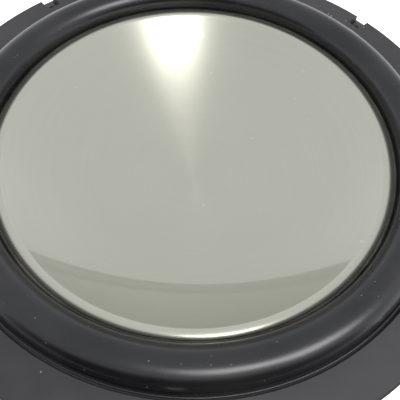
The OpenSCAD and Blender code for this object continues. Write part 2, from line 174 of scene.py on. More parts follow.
# %% [markdown]
# The world is the rest of the studio: pale all round, and a little brighter near the horizon than
# overhead. Its strength falls evenly as the direction that a ray looks in climbs between two heights.

# %% Colour the world
sky = bpy.data.worlds.new("studio")
sky.use_nodes = True
sky_tree = sky.node_tree
direction = sky_tree.nodes.new("ShaderNodeSeparateXYZ")
fade = sky_tree.nodes.new("ShaderNodeMapRange")
sky_tree.links.new(sky_tree.nodes.new("ShaderNodeTexCoord").outputs["Generated"], direction.inputs[0])
sky_tree.links.new(direction.outputs["Z"], fade.inputs["Value"])
for label, value in (("From Min", 0.05), ("From Max", 0.45), ("To Min", 1.7), ("To Max", 1.08)):
    fade.inputs[label].default_value = value
backdrop = sky_tree.nodes["Background"]
backdrop.inputs["Color"].default_value = (0.97, 0.98, 1, 1)
sky_tree.links.new(fade.outputs["Result"], backdrop.inputs["Strength"])
scene.world = sky

# %% [markdown]
# The floor is a big sheet of white paper, with a little light of its own so that it stays evenly
# white. A black card stands low behind the camera. Photographers place such a card to give a
# glossy black thing a dark side: without it the near slope of the rubber would mirror white paper.
# The camera itself doesn't see the card.

# %% Lay the floor and stand the black card
pick_nothing()
bpy.ops.mesh.primitive_plane_add(size=8, location=(0, 0, -0.0005))
floor = bpy.context.object
floor.name = "floor"
pale = bpy.data.materials.new("pale_paper")
pale.use_nodes = True
paper = pale.node_tree.nodes["Principled BSDF"].inputs
paper["Base Color"].default_value = (0.94, 0.94, 0.94, 1)
paper["Roughness"].default_value = 0.8
paper["Emission Color"].default_value = (1, 1, 1, 1)
paper["Emission Strength"].default_value = 0.6
floor.data.materials.append(pale)

pick_nothing()
bpy.ops.mesh.primitive_plane_add(size=1, location=(0, -0.75, 0.28), rotation=(math.pi / 2, 0, 0))
card = bpy.context.object
card.name = "black_card"
card.scale = (2.6, 0.55, 1)
card.visible_camera = False
black_paper = bpy.data.materials.new("black_paper")
black_paper.use_nodes = True
black_paper.node_tree.nodes["Principled BSDF"].inputs["Base Color"].default_value = (0.01, 0.01, 0.01, 1)
black_paper.node_tree.nodes["Principled BSDF"].inputs["Roughness"].default_value = 1
card.data.materials.append(black_paper)

# %% [markdown]
# Small helpers keep the modelling cells short. One adds a circle that stands upright, as the section
# of a turned part. One selects points by their place, because an operator works on whatever is
# selected. Others cut the section, draw lines on to it and apply a modifier, and one turns an open or
# closed section round the speaker's axis and closes its seam.

# %% Helpers for turned pieces
def upright_circle(name, radius, distance, height, points):
    """A circle in the XZ plane, left in edit mode with its object at the origin."""
    pick_nothing()
    bpy.ops.mesh.primitive_circle_add(vertices=points, radius=radius, location=(distance, 0, height),
                                      rotation=(math.pi / 2, 0, 0))
    piece = bpy.context.object
    piece.name = piece.data.name = name
    bpy.ops.object.transform_apply(location=True, rotation=True, scale=True)
    bpy.ops.object.mode_set(mode="EDIT")
    bpy.ops.mesh.select_mode(type="VERT")
    return piece


def pick(piece, test):
    """In edit mode, selects the points whose place passes the test, and nothing else."""
    shape = bmesh.from_edit_mesh(piece.data)
    for point in shape.verts:
        point.select = bool(test(point.co))
    shape.select_flush_mode()
    bmesh.update_edit_mesh(piece.data)
    return sum(point.select for point in shape.verts)


def near(x, z, gap=0.02 * MM):
    """A test for points of a section at distance x from the axis and height z."""
    return lambda at: abs(at.x - x) < gap and abs(at.z - z) < gap


def cut(x, z, normal_x, normal_z):
    """Cuts all of the section at a plane through x, z and drops the side that the normal points to."""
    bpy.ops.mesh.select_all(action="SELECT")
    bpy.ops.mesh.bisect(plane_co=(x, 0, z), plane_no=(normal_x, 0, normal_z), clear_outer=True,
                        clear_inner=False, use_fill=False, threshold=0.00001 * MM)


def draw_on(piece, x, z, *corners):
    """Draws a line of new points from the section's point at x, z through the given corners."""
    for next_x, next_z in corners:
        count = pick(piece, near(x, z))
        assert count == 1, (piece.name, "one point expected at", x, z, "found", count)
        bpy.ops.mesh.extrude_vertices_move(
            TRANSFORM_OT_translate={"value": (next_x - x, 0, next_z - z)})
        x, z = next_x, next_z


def turn(piece, steps):
    """Spins the section into a full ring, merges its seam and turns its faces outwards."""
    bpy.ops.mesh.select_all(action="SELECT")
    bpy.ops.mesh.spin(steps=steps, angle=2 * math.pi, center=(0, 0, 0), axis=(0, 0, 1))
    bpy.ops.mesh.select_all(action="SELECT")
    bpy.ops.mesh.remove_doubles(threshold=0.005 * MM)
    bpy.ops.mesh.normals_make_consistent(inside=False)
    bpy.ops.object.mode_set(mode="OBJECT")
    bpy.ops.object.shade_smooth_by_angle(angle=math.radians(40))


def use_modifier(piece, kind, **options):
    """Adds a modifier with these options and applies it."""
    modifier = piece.modifiers.new(kind.lower(), kind)
    for option, value in options.items():
        setattr(modifier, option, value)
    bpy.context.view_layer.objects.active = piece
    bpy.ops.object.modifier_apply(modifier=modifier.name)


def as_mesh(name, curve):
    """A smooth mesh object made from a curve."""
    piece = bpy.data.objects.new(name, curve)
    bpy.context.collection.objects.link(piece)
    pick_nothing()
    piece.select_set(True)
    bpy.context.view_layer.objects.active = piece
    bpy.ops.object.convert(target="MESH")
    bpy.ops.object.shade_smooth()
    return bpy.context.object


def triangles(piece):
    return sum(len(face.vertices) - 2 for face in piece.data.polygons)


# %% [markdown]
# The dish is one large shallow bowl of thin brushed metal. It could be cut from a sphere, but its
# rounded corner and flat flange are easier to draw as a section: an arc of a circle, a straight line
# that leaves it, and a bevelled corner. Turned with many steps it has no visible facets, which
# matters here, because a mirror-like bowl shows every flat spot in its reflections.

# %% Model the dish
dish_flange = 2.8 * MM
dish_corner = 3.5 * MM
dish_flat_r = dish_rim_r - dish_flange
dish_low_z = dish_back + dish_wall
dish_depth = dish_rim_z - dish_low_z
bowl_reach = (dish_flat_r ** 2 + dish_depth ** 2) / (2 * dish_depth)
bowl_radius = bowl_reach - dish_corner
bowl_slope = math.asin(dish_flat_r / bowl_reach)
corner_cut = dish_corner * math.tan(bowl_slope / 2)
arc_end = (bowl_radius * math.sin(bowl_slope),
           dish_low_z + bowl_radius * (1 - math.cos(bowl_slope)))
corner = (dish_flat_r - corner_cut, dish_rim_z)

dish = upright_circle("dish_shell", bowl_radius, 0, dish_low_z + bowl_radius, 720)
cut(0, 0, -1, 0)
cut(*arc_end, 0, 1)
draw_on(dish, *arc_end, corner, (dish_rim_r, dish_rim_z))
pick(dish, near(*corner))
bpy.ops.mesh.bevel(affect="VERTICES", offset=corner_cut * 0.999, segments=14, profile=0.5)
turn(dish, 288)
use_modifier(dish, "SOLIDIFY", thickness=dish_wall, offset=-1)
print("dish:", triangles(dish), "triangles, bowl radius", round(bowl_radius, 4))

# %% [markdown]
# The surround is the moulded rubber ring between the dish and the frame: a half roll that unrolls
# as the cone moves, with a leg and a flat landing at each side, and a small lip beside the trim
# ring. A flat ring bent by a modifier would stretch unevenly, so it is drawn as one closed section,
# from two circles cut in half and joined by straight lines, and turned. Bevelled corners give the
# lip and the landings the soft edges of a moulding.

# %% Model the surround
landing_top = lip_bottom + 1.2 * MM
landing_in = dish_flat_r + 0.15 * MM
skirt_top = flange_top + rubber
lip_in, lip_out = trim_r - 20.9 * MM, trim_r - 19.9 * MM
lip_top = trim_top - 1.0 * MM
valley_z = skirt_top + 0.3 * MM
inner_leg = roll_in + rubber
outer_leg = roll_out - rubber

surround = upright_circle("rubber_surround", roll_radius, roll_mid, roll_z, 128)
bpy.ops.mesh.primitive_circle_add(vertices=96, radius=roll_radius - rubber,
                                  location=(roll_mid, 0, roll_z), rotation=(math.pi / 2, 0, 0))
cut(0, roll_z, 0, -1)
draw_on(surround, roll_in, roll_z, (roll_in, landing_top), (landing_in, landing_top),
        (landing_in, lip_bottom), (inner_leg, lip_bottom), (inner_leg, roll_z))
draw_on(surround, roll_out, roll_z, (roll_out, valley_z), (lip_in, valley_z), (lip_in, lip_top),
        (lip_out, lip_top), (lip_out, skirt_top), (landing_r, skirt_top), (landing_r, flange_top),
        (outer_leg, flange_top), (outer_leg, roll_z))
bpy.ops.mesh.select_all(action="SELECT")
bpy.ops.mesh.remove_doubles(threshold=0.005 * MM)
pick(surround, lambda at: near(lip_in, lip_top)(at) or near(lip_out, lip_top)(at))
bpy.ops.mesh.bevel(affect="VERTICES", offset=0.35 * MM, segments=5, profile=0.5)
pick(surround, lambda at: near(roll_in, landing_top)(at) or near(landing_r, skirt_top)(at))
bpy.ops.mesh.bevel(affect="VERTICES", offset=0.5 * MM, segments=4, profile=0.5)
turn(surround, 256)
print("surround:", triangles(surround), "triangles")

# %% [markdown]
# A joint could pull this rubber off one of its two neighbours. Every point of it therefore follows
# the frame at its outer landing and the cone at its inner one, and turns smoothly from one to the
# other across the roll.

# %% Tie round soft pieces to frame and cone
def blend_outwards(piece, still_r, moving_r):
    """The piece follows the frame from still_r outwards and the cone from moving_r inwards."""
    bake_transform(piece, "frame", "cone_assembly", start=(still_r, 0, 0), end=(moving_r, 0, 0))
    weights = piece.data.attributes["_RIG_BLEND"].data
    for point, weight in zip(piece.data.vertices, weights):
        share = (math.hypot(point.co.x, point.co.y) - still_r) / (moving_r - still_r)
        share = min(max(share, 0.0), 1.0)
        weight.value = share * share * (3 - 2 * share)


blend_outwards(surround, roll_out - 0.4 * MM, roll_in + 0.4 * MM)
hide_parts("surround")
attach(dish, "cone_assembly")
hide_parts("dish")

# %% [markdown]
# Between the dish and the rubber runs a bead of black adhesive, laid by a nozzle and never quite
# even, with dust in it. A torus is the natural start. It is made a little wider than high, and its
# points are pushed about by a smooth noise, which gives the lumps and thin places of a real bead.

# %% Model the glue bead
bead_mid = (dish_rim_r + bead_r) / 2
bead_z = bead_low + 0.15 * MM
pick_nothing()
bpy.ops.mesh.primitive_torus_add(major_radius=bead_mid, minor_radius=0.9 * MM, major_segments=480,
                                 minor_segments=14, location=(0, 0, bead_z))
bead = bpy.context.object
bead.name = bead.data.name = "glue_bead"
bpy.ops.object.transform_apply(location=True, rotation=True, scale=True)
bpy.ops.object.mode_set(mode="EDIT")
bpy.ops.mesh.select_mode(type="EDGE")
bpy.ops.mesh.select_all(action="SELECT")
bpy.ops.transform.resize(value=(1, 1, 0.5), center_override=(0, 0, bead_z))
bpy.ops.object.mode_set(mode="OBJECT")
for point in bead.data.vertices:
    lump = noise.noise(point.co * 160) * 0.28 + noise.noise(point.co * 700) * 0.14
    out = Vector((point.co.x, point.co.y, 0)).normalized()
    centre_line = out * bead_mid + Vector((0, 0, bead_z))
    point.co = centre_line + (point.co - centre_line) * (1 + lump)
bpy.ops.object.shade_smooth()
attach(bead, "cone_assembly")
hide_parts("dish_glue_bead")
print("bead:", triangles(bead), "triangles")

# %% [markdown]
# The spider is a disc of cloth dipped in resin and pressed into rings of waves. It keeps the voice
# coil in the middle of its gap. It starts as a plain circle at its outer edge. Each step extrudes
# the edge a little further in and up or down, so the waves grow ring by ring, and at the end the
# edge is drawn up into the collar that is glued to the coil's tube.

# %% Model the spider
SPIDER_WAVES = 5
STEPS_PER_WAVE = 14
cloth = 0.8 * MM
wave_swing = 2 * MM
ledge_z = spider_low + wave_swing
wave_out = spider_r - 12 * MM
wave_in = former_r + 2.6 * MM
collar_r = former_r + 0.35 * MM

path = [(wave_out, ledge_z)]
for step in range(1, SPIDER_WAVES * STEPS_PER_WAVE + 1):
    share = step / (SPIDER_WAVES * STEPS_PER_WAVE)
    path.append((wave_out + (wave_in - wave_out) * share,
                 ledge_z + wave_swing * math.sin(2 * math.pi * SPIDER_WAVES * share)))
path += [(collar_r + 0.9 * MM, ledge_z + 0.2 * MM), (collar_r + 0.25 * MM, ledge_z + 0.8 * MM),
         (collar_r, ledge_z + 1.6 * MM), (collar_r, ledge_z + 7 * MM)]

pick_nothing()
bpy.ops.mesh.primitive_circle_add(vertices=192, radius=spider_r, location=(0, 0, ledge_z))
spider = bpy.context.object
spider.name = spider.data.name = "cloth_spider"
bpy.ops.object.transform_apply(location=True, rotation=True, scale=True)
bpy.ops.object.mode_set(mode="EDIT")
bpy.ops.mesh.select_mode(type="EDGE")
bpy.ops.mesh.select_all(action="SELECT")
edge_r, edge_z = spider_r, ledge_z
for next_r, next_z in path:
    bpy.ops.mesh.extrude_edges_move(TRANSFORM_OT_translate={"value": (0, 0, next_z - edge_z)})
    narrower = next_r / edge_r
    bpy.ops.transform.resize(value=(narrower, narrower, 1), center_override=(0, 0, next_z))
    edge_r, edge_z = next_r, next_z
bpy.ops.mesh.select_all(action="SELECT")
bpy.ops.mesh.normals_make_consistent(inside=False)
bpy.ops.object.mode_set(mode="OBJECT")
if sum(face.normal.z for face in spider.data.polygons) < 0:
    bpy.ops.object.mode_set(mode="EDIT")
    bpy.ops.mesh.flip_normals()
    bpy.ops.object.mode_set(mode="OBJECT")
bpy.ops.object.shade_smooth()
use_modifier(spider, "SOLIDIFY", thickness=cloth, offset=1)
blend_outwards(spider, wave_out, wave_in)
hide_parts("spider")
print("spider:", triangles(spider), "triangles")

# %% [markdown]
# Two tinsel leads carry the current from the terminals to the moving cone. Each is a rope of fine
# copper strands, because a solid wire would break after a few hours of music. One strand is drawn
# as a curve that winds round the lead's middle line, given its thickness by the curve's own bevel,
# and turned into a mesh. Its neighbours are the same strand started at other angles.

# %% Model the tinsel leads
LEAD_BOW = [(0, 0), (0.01, 0.3), (0.06, 0.62), (0.18, 0.88), (0.35, 1), (0.55, 1.02), (0.78, 0.98),
            (1, 1)]
STRANDS = 5
lead_r = 1.2 * MM
strand_r = 0.44 * MM
twist = 9 * MM


def smooth_line(points, steps):
    """A smooth line through the points, with each span cut into equal steps."""
    line = []
    last = len(points) - 1
    for i in range(last):
        a, b, c, d = (points[max(i - 1, 0)], points[i], points[i + 1], points[min(i + 2, last)])
        for k in range(steps):
            t = k / steps
            line.append(0.5 * (2 * b + (c - a) * t + (2 * a - 5 * b + 4 * c - d) * t * t
                               + (3 * b - a - 3 * c + d) * t * t * t))
    return line + [points[-1]]


def lead_line(side):
    """The lead's middle line: up its tab, over in an arch and down to its eyelet."""
    low, high = (Vector(corner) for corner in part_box("contact_red" if side < 0 else "contact_black"))
    foot = Vector(((low.x + high.x) / 2, high.y - 2.0 * MM, high.z))
    eyelet_low, eyelet_high = (Vector(corner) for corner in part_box("cone_eyelets"))
    eye = Vector((side * (eyelet_high.x - 2.4 * MM), (eyelet_low.y + eyelet_high.y) / 2,
                  (eyelet_low.z + eyelet_high.z) / 2))
    outwards = Vector((eye.x, eye.y, 0)).normalized()
    behind = eye + outwards * 3.5 * MM - Vector((0, 0, 3.6 * MM))
    arch = [Vector((foot.x + (behind.x - foot.x) * across, foot.y + (behind.y - foot.y) * across,
                    foot.z + (behind.z - foot.z) * up)) for across, up in LEAD_BOW]
    return smooth_line([foot - Vector((0, 0, 6 * MM))] + arch
                       + [eye + outwards * 1.2 * MM - Vector((0, 0, 1.25 * MM))], 10)


def model_lead(name, side):
    """A rope of strands along the lead's middle line."""
    line = lead_line(side)
    ropes = bpy.data.curves.new(name, "CURVE")
    ropes.dimensions = "3D"
    ropes.bevel_depth = strand_r
    ropes.bevel_resolution = 1
    ropes.use_fill_caps = True
    for strand in range(STRANDS):
        spline = ropes.splines.new("POLY")
        spline.points.add(len(line) - 1)
        travelled = 0.0
        for i, point in enumerate(line):
            ahead = line[min(i + 1, len(line) - 1)] - line[max(i - 1, 0)]
            across = ahead.cross(Vector((1, 0, 0))).normalized()
            beside = ahead.cross(across).normalized()
            if i:
                travelled += (point - line[i - 1]).length
            angle = 2 * math.pi * (strand / STRANDS + travelled / twist)
            place = point + (across * math.cos(angle) + beside * math.sin(angle)) * (lead_r - strand_r)
            spline.points[i].co = (*place, 1)
    return as_mesh(name, ropes), line


leads = {}
for side, colour in ((-1, "red"), (1, "black")):
    lead, line = model_lead("lead_" + colour, side)
    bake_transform(lead, "frame", "cone_assembly", start=tuple(line[10]), end=tuple(line[-8]))
    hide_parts("tinsel_lead_" + colour)
    leads[colour] = lead
    length = sum((b - a).length for a, b in zip(line, line[1:]))
    print(lead.name, "is", round(length, 4), "m long,", triangles(lead), "triangles")

# %% [markdown]
# A coil spring under each push button shortens when the button is pressed. It is a helix of points
# with a round section, and its axis runs along Y, the way the button comes down.

# %% Model the button springs
spring_wire_r = 0.3 * MM
TURNS, STEPS = 5, 24
springs = {}
for colour in ("red", "black"):
    low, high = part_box("button_spring_" + colour)
    length = high[1] - low[1]
    mid_x, mid_z = (low[0] + high[0]) / 2, (low[2] + high[2]) / 2
    coil_r = (high[0] - low[0]) / 2 - spring_wire_r
    helix = bpy.data.curves.new("spring_" + colour, "CURVE")
    helix.dimensions = "3D"
    helix.bevel_depth, helix.bevel_resolution, helix.use_fill_caps = spring_wire_r, 2, True
    spline = helix.splines.new("POLY")
    spline.points.add(TURNS * STEPS)
    for i, point in enumerate(spline.points):
        angle = 2 * math.pi * i / STEPS
        rise = (length - 2 * spring_wire_r) * i / (TURNS * STEPS)
        point.co = (mid_x + coil_r * math.cos(angle), low[1] + spring_wire_r + rise,
                    mid_z + coil_r * math.sin(angle), 1)
    spring = as_mesh("spring_" + colour, helix)
    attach(spring, "frame")
    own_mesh(spring)
    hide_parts("button_spring_" + colour)
    springs[colour] = spring
print("button springs:", sorted(springs), "length", round(length / MM, 1), "mm")

# %% [markdown]
# Every finish below is built from shader nodes. Helpers keep that readable: they add a node and wire
# its inputs, do sums, stretch a range, blend two colours and start a node group. Numbers that are
# the same all over a surface are set on the Principled shader itself. Anything that several
# finishes share is a node group, made once.

# %% Helpers for shader nodes
def add(tree, kind, inputs=None, **options):
    """A shader node. Each input takes a number, a colour or another node's output."""
    made = tree.nodes.new("ShaderNode" + kind)
    for option, value in options.items():
        setattr(made, option, value)
    for label, value in (inputs or {}).items():
        if isinstance(value, bpy.types.NodeSocket):
            tree.links.new(value, made.inputs[label])
        else:
            made.inputs[label].default_value = value
    return made


def calc(tree, operation, *values):
    """The output of a Math node."""
    return add(tree, "Math", dict(enumerate(values)), operation=operation).outputs[0]


def spread(tree, value, low, high, to_low=0.0, to_high=1.0):
    """The value stretched from one range to another, and held inside it."""
    ranged = add(tree, "MapRange", {"Value": value, "From Min": low, "From Max": high,
                                    "To Min": to_low, "To Max": to_high})
    return ranged.outputs["Result"]


def blend_colours(tree, mask, first, second):
    """A colour that goes from first to second as the mask goes from 0 to 1."""
    mixed = add(tree, "Mix", {"Factor": mask, "A": (0, 0, 0, 1), "B": (0, 0, 0, 1)}, data_type="RGBA")
    for socket, colour in ((mixed.inputs[6], first), (mixed.inputs[7], second)):
        if isinstance(colour, bpy.types.NodeSocket):
            tree.links.new(colour, socket)
        else:
            socket.default_value = (*colour, 1)
    return mixed.outputs[2]


def start_group(name, inputs, outputs):
    """A node group with a Vector input, the given number inputs and the given number outputs."""
    group = bpy.data.node_groups.new(name, "ShaderNodeTree")
    group.interface.new_socket("Vector", in_out="INPUT", socket_type="NodeSocketVector")
    for label, value in inputs.items():
        socket = group.interface.new_socket(label, in_out="INPUT", socket_type="NodeSocketFloat")
        socket.default_value = value
    for label in outputs:
        group.interface.new_socket(label, in_out="OUTPUT", socket_type="NodeSocketFloat")
    source = group.nodes.new("NodeGroupInput")
    sink = group.nodes.new("NodeGroupOutput")
    return group, source.outputs, sink.inputs


# %% [markdown]
# The first shared effect is dust. A speaker that has lain about carries small pale specks and a
# thin uneven film. The specks are the middles of a few cells of a Voronoi pattern, picked by each
# cell's own random colour, and the film is a slow noise.

# %% Node group: dust
dust, given, result = start_group("dust", {"Speck scale": 500, "Speck share": 0.03, "Film": 0.1},
                                  ["Mask"])
cells = add(dust, "TexVoronoi", {"Vector": given["Vector"], "Scale": given["Speck scale"]})
chosen = calc(dust, "LESS_THAN", add(dust, "SeparateColor", {"Color": cells.outputs["Color"]}).outputs[0],
              given["Speck share"])
size = calc(dust, "MULTIPLY", add(dust, "SeparateColor",
                                  {"Color": cells.outputs["Color"]}).outputs[1], 0.3)
speck = calc(dust, "MULTIPLY", chosen, calc(dust, "LESS_THAN", cells.outputs["Distance"], size))
cloud = add(dust, "TexNoise", {"Vector": given["Vector"], "Scale": 22, "Detail": 6, "Roughness": 0.6})
film = calc(dust, "MULTIPLY", spread(dust, cloud.outputs[0], 0.42, 0.72), given["Film"])
dust.links.new(calc(dust, "MAXIMUM", speck, film), result["Mask"])
print("dust:", len(dust.nodes), "nodes")

# %% [markdown]
# Handling leaves scuffs: short thin streaks, in two directions, that show where they catch light.
# A noise that is squeezed hard along one axis gives streaks, and a high threshold keeps only a few.

# %% Node group: scuffs
scuffs, given, result = start_group("scuffs", {"Scale": 60, "Amount": 0.5}, ["Mask"])
streaks = []
for angle in (25, 115):
    turned_way = add(scuffs, "Mapping", {"Vector": given["Vector"],
                                         "Rotation": (0.1, 0.2, math.radians(angle)),
                                         "Scale": (1, 14, 1)})
    streak = add(scuffs, "TexNoise", {"Vector": turned_way.outputs[0], "Scale": given["Scale"],
                                      "Detail": 3})
    streaks.append(spread(scuffs, streak.outputs[0], 0.66, 0.74))
worn = add(scuffs, "TexNoise", {"Vector": given["Vector"], "Scale": 14, "Detail": 2})
place = spread(scuffs, worn.outputs[0], 0.5, 0.62)
both = calc(scuffs, "MAXIMUM", *streaks)
scuffs.links.new(calc(scuffs, "MULTIPLY", calc(scuffs, "MULTIPLY", both, place), given["Amount"]),
                 result["Mask"])
print("scuffs:", len(scuffs.nodes), "nodes")

# %% [markdown]
# Moulded plastic, rubber and powder coat are never smooth when seen close. Their grain is a fine
# noise on top of a coarser one. The group gives it twice: as a height for bump, and as a slow tone
# that makes the gloss vary from place to place.

# %% Node group: grain
grain, given, result = start_group("grain", {"Scale": 2000, "Cloud scale": 30}, ["Height", "Tone"])
fine = add(grain, "TexNoise", {"Vector": given["Vector"], "Scale": given["Scale"], "Detail": 2})
coarse = add(grain, "TexNoise", {"Vector": given["Vector"],
                                 "Scale": calc(grain, "MULTIPLY", given["Scale"], 0.27), "Detail": 1})
grain.links.new(calc(grain, "ADD", calc(grain, "MULTIPLY", fine.outputs[0], 0.6),
                     calc(grain, "MULTIPLY", coarse.outputs[0], 0.4)), result["Height"])
slow = add(grain, "TexNoise", {"Vector": given["Vector"], "Scale": given["Cloud scale"], "Detail": 5})
grain.links.new(spread(grain, slow.outputs[0], 0.3, 0.7), result["Tone"])
print("grain:", len(grain.nodes), "nodes")

# %% [markdown]
# Spun and turned metal carries fine circles round its axis. They need a pattern that changes fast
# with the distance from the axis and slowly round it, so the noise reads the radius, scaled up, and
# the direction, which is the place divided by its radius and so has no seam.

# %% Node group: circular brushing
brushing, given, result = start_group("circular brushing", {"Lines": 2500, "Patches": 2.0},
                                      ["Line", "Patch"])
at = add(brushing, "SeparateXYZ", {"Vector": given["Vector"]}).outputs
square = calc(brushing, "ADD", calc(brushing, "MULTIPLY", at["X"], at["X"]),
              calc(brushing, "MULTIPLY", at["Y"], at["Y"]))
radius = calc(brushing, "MAXIMUM", calc(brushing, "SQRT", square), 0.0005)
way_x = calc(brushing, "MULTIPLY", calc(brushing, "DIVIDE", at["X"], radius), given["Patches"])
way_y = calc(brushing, "MULTIPLY", calc(brushing, "DIVIDE", at["Y"], radius), given["Patches"])
rings = add(brushing, "CombineXYZ", {"X": calc(brushing, "MULTIPLY", radius, given["Lines"]),
                                     "Y": way_x, "Z": way_y})
line = add(brushing, "TexNoise", {"Vector": rings.outputs[0], "Scale": 1, "Detail": 4, "Roughness": 0.7})
brushing.links.new(line.outputs[0], result["Line"])
broad = add(brushing, "CombineXYZ", {"X": calc(brushing, "MULTIPLY", radius, 90), "Y": way_x, "Z": way_y})
patch = add(brushing, "TexNoise", {"Vector": broad.outputs[0], "Scale": 1, "Detail": 2})
brushing.links.new(spread(brushing, patch.outputs[0], 0.3, 0.7), result["Patch"])
print("circular brushing:", len(brushing.nodes), "nodes")

# %% [markdown]
# A material starts with the Principled shader and its plain numbers. The surface's own place, its
# Object coordinates, goes into every pattern, so nothing slides when the cone moves. More helpers
# place a node group, wire a value into the shader and raise bumps. Dust lies on nearly everything here.

# %% Helpers for materials
finishes = {}


def start_finish(name, colour, **plain):
    """A material with a Principled shader: (tree, shader, the surface's place)."""
    finish = bpy.data.materials.new(name)
    finish.use_nodes = True
    tree = finish.node_tree
    shader = tree.nodes["Principled BSDF"]
    shader.inputs["Base Color"].default_value = (*colour, 1)
    for label, value in plain.items():
        shader.inputs[label.replace("_", " ").title()].default_value = value
    finishes[name] = finish
    return tree, shader, add(tree, "TexCoord").outputs["Object"]


def place_group(tree, group, vector, **values):
    """A node group in a material, with its own values."""
    placed = tree.nodes.new("ShaderNodeGroup")
    placed.node_tree = group
    tree.links.new(vector, placed.inputs["Vector"])
    for label, value in values.items():
        placed.inputs[label.replace("_", " ")].default_value = value
    return placed.outputs


def wire(tree, shader, label, value):
    tree.links.new(value, shader.inputs[label])


def raise_bumps(tree, shader, height, depth, strength=1.0):
    """Bumps of that depth in metres."""
    bump = add(tree, "Bump", {"Height": height, "Distance": depth, "Strength": strength})
    wire(tree, shader, "Normal", bump.outputs[0])


# %% [markdown]
# The dish looks like spun aluminium under clear lacquer. The metal spreads reflections along its
# brush lines, which draws one soft bright streak through the middle, and the lacquer adds a second,
# sharp reflection on top. The shader has a value for each: anisotropic gloss on a tangent that runs
# round the axis, and a coat. Tone, roughness and bump follow the same circles.

# %% Finish: spun metal under lacquer
tree, shader, place = start_finish("dish_film", (0.4, 0.4, 0.35), metallic=0.9, roughness=0.3,
                                   anisotropic=0.7, anisotropic_rotation=0.25,
                                   coat_weight=1.0, coat_roughness=0.03)
lines = place_group(tree, brushing, place, Lines=2600, Patches=1.6)
dirt = place_group(tree, dust, place, Speck_scale=260, Speck_share=0.01, Film=0.03)
metal = blend_colours(tree, spread(tree, lines["Line"], 0.3, 0.7), (0.385, 0.39, 0.325),
                      (0.42, 0.422, 0.355))
metal = blend_colours(tree, calc(tree, "MULTIPLY", lines["Patch"], 0.3), metal, (0.41, 0.415, 0.37))
wire(tree, shader, "Base Color", blend_colours(tree, dirt["Mask"], metal, (0.6, 0.59, 0.56)))
rough = spread(tree, lines["Line"], 0.3, 0.7, 0.29, 0.34)
wire(tree, shader, "Roughness", calc(tree, "MAXIMUM", rough, calc(tree, "MULTIPLY", dirt["Mask"], 0.8)))
raise_bumps(tree, shader, lines["Line"], 0.001 * MM, 0.5)
around = add(tree, "Tangent", direction_type="RADIAL", axis="Z")
wire(tree, shader, "Tangent", around.outputs[0])
print("dish_film:", len(tree.nodes), "nodes")

# %% [markdown]
# The rubber is black and satin. A clean new roll would be a plain dark gloss, but rubber picks up
# dust and dull rubbed places, which show as soft grey drifts in its long highlights.

# %% Finish: satin rubber
tree, shader, place = start_finish("roll_rubber", (0.011, 0.011, 0.012), roughness=0.4,
                                   specular_tint=(0.95, 0.96, 1, 1))
skin = place_group(tree, grain, place, Scale=1800, Cloud_scale=18)
dirt = place_group(tree, dust, place, Speck_scale=1000, Speck_share=0.03, Film=0.05)
rubbed = place_group(tree, scuffs, place, Scale=42, Amount=0.5)
black = blend_colours(tree, skin["Tone"], (0.003, 0.003, 0.0034), (0.005, 0.005, 0.0056))
black = blend_colours(tree, rubbed["Mask"], black, (0.02, 0.02, 0.021))
wire(tree, shader, "Base Color", blend_colours(tree, dirt["Mask"], black, (0.13, 0.125, 0.12)))
rough = spread(tree, skin["Tone"], 0, 1, 0.24, 0.32)
wire(tree, shader, "Roughness", calc(tree, "ADD", rough, calc(tree, "MULTIPLY", dirt["Mask"], 0.35)))
raise_bumps(tree, shader, skin["Height"], 0.01 * MM)
print("roll_rubber:", len(tree.nodes), "nodes")

# %% [markdown]
# The bead of adhesive is the dirtiest thing here, nearly black with trapped dust. The trim ring next to
# the rubber is a matte moulding with a fine spark-eroded grain, and the basket is steel with a
# satin powder coat, whose slight ripple is called orange peel.

# %% Finish: adhesive, trim plastic and powder coat
tree, shader, place = start_finish("glue", (0.05, 0.045, 0.04), roughness=0.6)
skin = place_group(tree, grain, place, Scale=900, Cloud_scale=160)
dirt = place_group(tree, dust, place, Speck_scale=1100, Speck_share=0.12, Film=0.25)
paste = blend_colours(tree, skin["Tone"], (0.006, 0.006, 0.006), (0.03, 0.026, 0.022))
wire(tree, shader, "Base Color", blend_colours(tree, dirt["Mask"], paste, (0.26, 0.24, 0.21)))
wire(tree, shader, "Roughness", spread(tree, skin["Tone"], 0, 1, 0.45, 0.8))
raise_bumps(tree, shader, skin["Height"], 0.12 * MM)

tree, shader, place = start_finish("trim_plastic", (0.035, 0.035, 0.037), roughness=0.5,
                                   specular_tint=(0.97, 0.95, 1, 1))
skin = place_group(tree, grain, place, Scale=2600, Cloud_scale=26)
dirt = place_group(tree, dust, place, Speck_scale=520, Speck_share=0.02, Film=0.05)
rubbed = place_group(tree, scuffs, place, Scale=55, Amount=0.6)
black = blend_colours(tree, skin["Tone"], (0.008, 0.008, 0.0085), (0.013, 0.013, 0.0138))
black = blend_colours(tree, rubbed["Mask"], black, (0.09, 0.09, 0.092))
wire(tree, shader, "Base Color", blend_colours(tree, dirt["Mask"], black, (0.2, 0.195, 0.19)))
wire(tree, shader, "Roughness", spread(tree, skin["Tone"], 0, 1, 0.5, 0.62))
raise_bumps(tree, shader, skin["Height"], 0.02 * MM)

